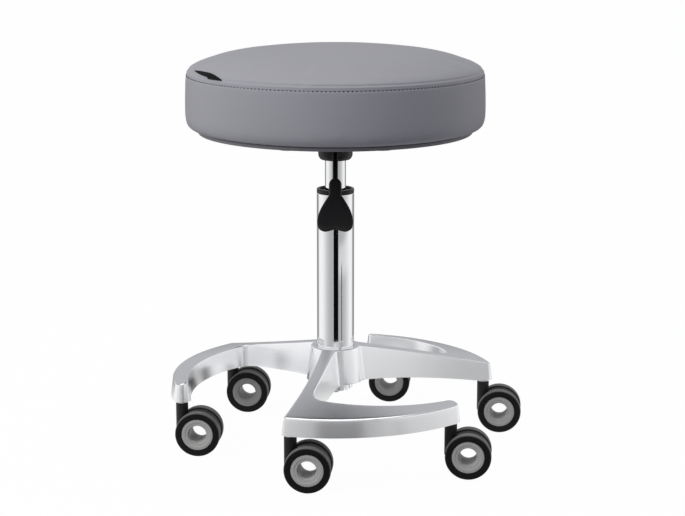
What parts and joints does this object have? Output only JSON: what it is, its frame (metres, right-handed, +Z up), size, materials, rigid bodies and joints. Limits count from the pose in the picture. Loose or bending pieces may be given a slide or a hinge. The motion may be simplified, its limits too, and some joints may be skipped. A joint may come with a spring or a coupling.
{
  "type": "exam stool",
  "caption": "Round padded stool on a gas lift with a release lever, carried by a polished cast base with hooked arms on twin-wheel swivel casters.",
  "frame": {"origin": "on the floor under the axis of the lift column", "axes": "+Z up along the lift column; the lever points along -Y; +X to the right of someone facing the lever"},
  "size_m": [0.4834, 0.4554, 0.538],
  "materials": {
    "polished_aluminium": "polished",
    "chrome": "polished",
    "steel": "satin",
    "black_steel": "satin",
    "black_plastic": "satin",
    "grey_plastic": "satin",
    "rubber": "matte",
    "tyre": "matte",
    "grey_leatherette": "satin",
    "grey_pan": "satin",
    "plywood": "matte",
    "black_fabric": "matte"
  },
  "bodies": {
    "base": {"base_casting": "polished_aluminium", "column_tube": "chrome", "guide_bush": "black_plastic", "thrust_bearing": "steel", "caster_1_stem": "steel", "caster_2_stem": "steel", "caster_3_stem": "steel", "caster_4_stem": "steel", "caster_5_stem": "steel", "caster_6_stem": "steel"},
    "piston": {"piston_rod": "steel", "bearing_washer": "steel", "rubber_bumper": "rubber", "retaining_clip": "steel"},
    "seat": {"gas_cylinder": "chrome", "seat_mount": "black_steel", "socket_cover": "black_plastic", "lever_pivot_pin": "steel", "seat_pan": "grey_pan", "seat_board": "plywood", "seat_cushion": "grey_leatherette", "cushion_tab": "black_fabric", "seat_screw_1": "steel", "seat_screw_2": "steel", "seat_screw_3": "steel", "seat_screw_4": "steel"},
    "lever": {"lever_rod": "black_steel", "lever_paddle": "black_plastic"},
    "valve": {"valve_button": "steel"},
    "caster_1": {"caster_1_body": "black_plastic"},
    "caster_1_wheel_front": {"caster_1_rim_front": "grey_plastic", "caster_1_tyre_front": "tyre"},
    "caster_1_wheel_rear": {"caster_1_rim_rear": "grey_plastic", "caster_1_tyre_rear": "tyre"},
    "caster_2": {"caster_2_body": "black_plastic"},
    "caster_2_wheel_front": {"caster_2_rim_front": "grey_plastic", "caster_2_tyre_front": "tyre"},
    "caster_2_wheel_rear": {"caster_2_rim_rear": "grey_plastic", "caster_2_tyre_rear": "tyre"},
    "caster_3": {"caster_3_body": "black_plastic"},
    "caster_3_wheel_front": {"caster_3_rim_front": "grey_plastic", "caster_3_tyre_front": "tyre"},
    "caster_3_wheel_rear": {"caster_3_rim_rear": "grey_plastic", "caster_3_tyre_rear": "tyre"},
    "caster_4": {"caster_4_body": "black_plastic"},
    "caster_4_wheel_front": {"caster_4_rim_front": "grey_plastic", "caster_4_tyre_front": "tyre"},
    "caster_4_wheel_rear": {"caster_4_rim_rear": "grey_plastic", "caster_4_tyre_rear": "tyre"},
    "caster_5": {"caster_5_body": "black_plastic"},
    "caster_5_wheel_front": {"caster_5_rim_front": "grey_plastic", "caster_5_tyre_front": "tyre"},
    "caster_5_wheel_rear": {"caster_5_rim_rear": "grey_plastic", "caster_5_tyre_rear": "tyre"},
    "caster_6": {"caster_6_body": "black_plastic"},
    "caster_6_wheel_front": {"caster_6_rim_front": "grey_plastic", "caster_6_tyre_front": "tyre"},
    "caster_6_wheel_rear": {"caster_6_rim_rear": "grey_plastic", "caster_6_tyre_rear": "tyre"}
  },
  "joints": [
    {"name": "seat_swivel", "type": "hinge", "parent": "base", "child": "piston", "pos_m": [0, 0, 0.0828], "axis": [0, 0, 1], "continuous": true},
    {"name": "seat_lift", "type": "slide", "parent": "piston", "child": "seat", "axis": [0, 0, 1], "range_m": [0, 0.13]},
    {"name": "lever_tilt", "type": "hinge", "parent": "seat", "child": "lever", "pos_m": [0, -0.0135, 0.4165], "axis": [-1, 0, 0], "range_deg": [0, 12], "stiffness_Nm_per_rad": 0.6},
    {"name": "valve_press", "type": "slide", "parent": "seat", "child": "valve", "axis": [0, 0, -1], "range_m": [0, 0.004]},
    {"name": "caster_1_swivel", "type": "hinge", "parent": "base", "child": "caster_1", "pos_m": [0.20515, 0.05344, 0.065], "axis": [0, 0, 1], "continuous": true},
    {"name": "caster_1_wheel_front_spin", "type": "hinge", "parent": "caster_1", "child": "caster_1_wheel_front", "pos_m": [0.22807, 0.05143, 0.03], "axis": [0.0872, 0.9962, 0], "continuous": true},
    {"name": "caster_1_wheel_rear_spin", "type": "hinge", "parent": "caster_1", "child": "caster_1_wheel_rear", "pos_m": [0.22807, 0.05143, 0.03], "axis": [0.0872, 0.9962, 0], "continuous": true},
    {"name": "caster_2_swivel", "type": "hinge", "parent": "base", "child": "caster_2", "pos_m": [0.0563, 0.20439, 0.065], "axis": [0, 0, 1], "continuous": true},
    {"name": "caster_2_wheel_front_spin", "type": "hinge", "parent": "caster_2", "child": "caster_2_wheel_front", "pos_m": [0.07921, 0.20238, 0.03], "axis": [0.0872, 0.9962, 0], "continuous": true},
    {"name": "caster_2_wheel_rear_spin", "type": "hinge", "parent": "caster_2", "child": "caster_2_wheel_rear", "pos_m": [0.07921, 0.20238, 0.03], "axis": [0.0872, 0.9962, 0], "continuous": true},
    {"name": "caster_3_swivel", "type": "hinge", "parent": "base", "child": "caster_3", "pos_m": [-0.14886, 0.15095, 0.065], "axis": [0, 0, 1], "continuous": true},
    {"name": "caster_3_wheel_front_spin", "type": "hinge", "parent": "caster_3", "child": "caster_3_wheel_front", "pos_m": [-0.12594, 0.14894, 0.03], "axis": [0.0872, 0.9962, 0], "continuous": true},
    {"name": "caster_3_wheel_rear_spin", "type": "hinge", "parent": "caster_3", "child": "caster_3_wheel_rear", "pos_m": [-0.12594, 0.14894, 0.03], "axis": [0.0872, 0.9962, 0], "continuous": true},
    {"name": "caster_4_swivel", "type": "hinge", "parent": "base", "child": "caster_4", "pos_m": [-0.20515, -0.05344, 0.065], "axis": [0, 0, 1], "continuous": true},
    {"name": "caster_4_wheel_front_spin", "type": "hinge", "parent": "caster_4", "child": "caster_4_wheel_front", "pos_m": [-0.18224, -0.05544, 0.03], "axis": [0.0872, 0.9962, 0], "continuous": true},
    {"name": "caster_4_wheel_rear_spin", "type": "hinge", "parent": "caster_4", "child": "caster_4_wheel_rear", "pos_m": [-0.18224, -0.05544, 0.03], "axis": [0.0872, 0.9962, 0], "continuous": true},
    {"name": "caster_5_swivel", "type": "hinge", "parent": "base", "child": "caster_5", "pos_m": [-0.0563, -0.20439, 0.065], "axis": [0, 0, 1], "continuous": true},
    {"name": "caster_5_wheel_front_spin", "type": "hinge", "parent": "caster_5", "child": "caster_5_wheel_front", "pos_m": [-0.03338, -0.20639, 0.03], "axis": [0.0872, 0.9962, 0], "continuous": true},
    {"name": "caster_5_wheel_rear_spin", "type": "hinge", "parent": "caster_5", "child": "caster_5_wheel_rear", "pos_m": [-0.03338, -0.20639, 0.03], "axis": [0.0872, 0.9962, 0], "continuous": true},
    {"name": "caster_6_swivel", "type": "hinge", "parent": "base", "child": "caster_6", "pos_m": [0.14886, -0.15095, 0.065], "axis": [0, 0, 1], "continuous": true},
    {"name": "caster_6_wheel_front_spin", "type": "hinge", "parent": "caster_6", "child": "caster_6_wheel_front", "pos_m": [0.17177, -0.15295, 0.03], "axis": [0.0872, 0.9962, 0], "continuous": true},
    {"name": "caster_6_wheel_rear_spin", "type": "hinge", "parent": "caster_6", "child": "caster_6_wheel_rear", "pos_m": [0.17177, -0.15295, 0.03], "axis": [0.0872, 0.9962, 0], "continuous": true}
  ],
  "couplings": [
    {"joint": "valve_press", "follows": "lever_tilt", "m_per_rad": 0.017}
  ]
}
